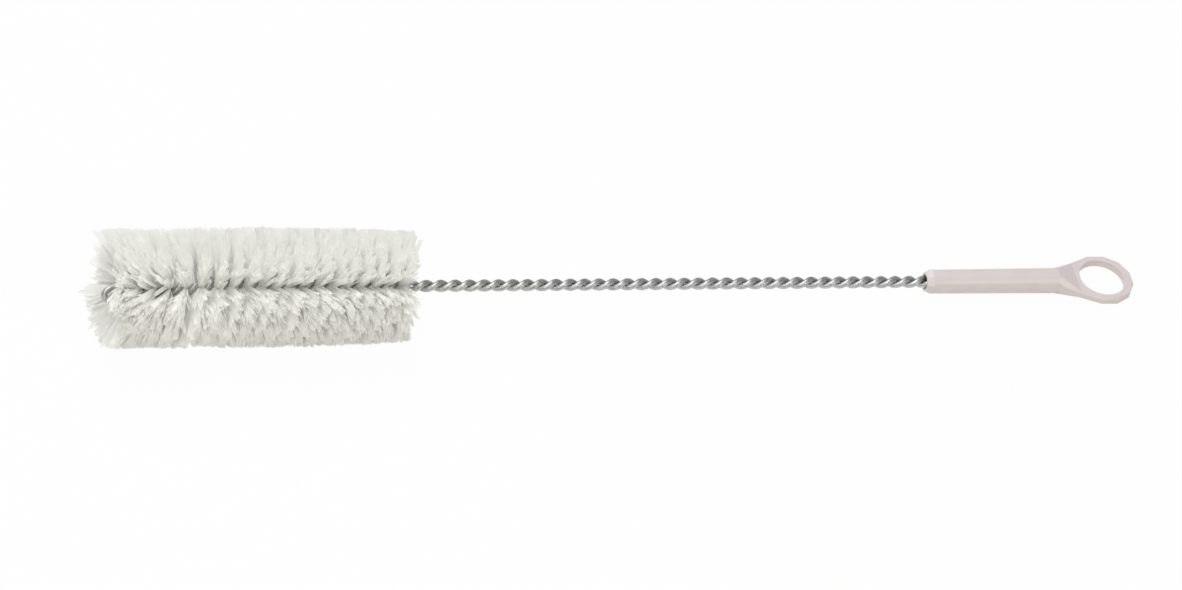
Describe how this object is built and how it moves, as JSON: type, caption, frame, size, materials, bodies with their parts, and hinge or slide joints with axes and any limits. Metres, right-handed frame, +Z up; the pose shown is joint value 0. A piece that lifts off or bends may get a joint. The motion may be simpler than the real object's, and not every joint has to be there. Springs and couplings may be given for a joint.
{
  "type": "bottle brush",
  "caption": "Cylindrical bottle brush: nylon bristles in a folded and twisted steel wire stem, with a moulded grip that ends in a flat twelve-sided hanging ring.",
  "frame": {"origin": "on the table, under the middle of the brush as it lies", "axes": "+X along the brush from the bristle tip towards the hanging ring, +Z up"},
  "size_m": [0.4582, 0.05, 0.0552],
  "materials": {
    "galvanised_wire": "satin",
    "bristle": "matte",
    "handle_plastic": "satin"
  },
  "bodies": {
    "root": {"stem_wire": "galvanised_wire", "bristle_head": "bristle", "handle": "handle_plastic"}
  },
  "joints": []
}
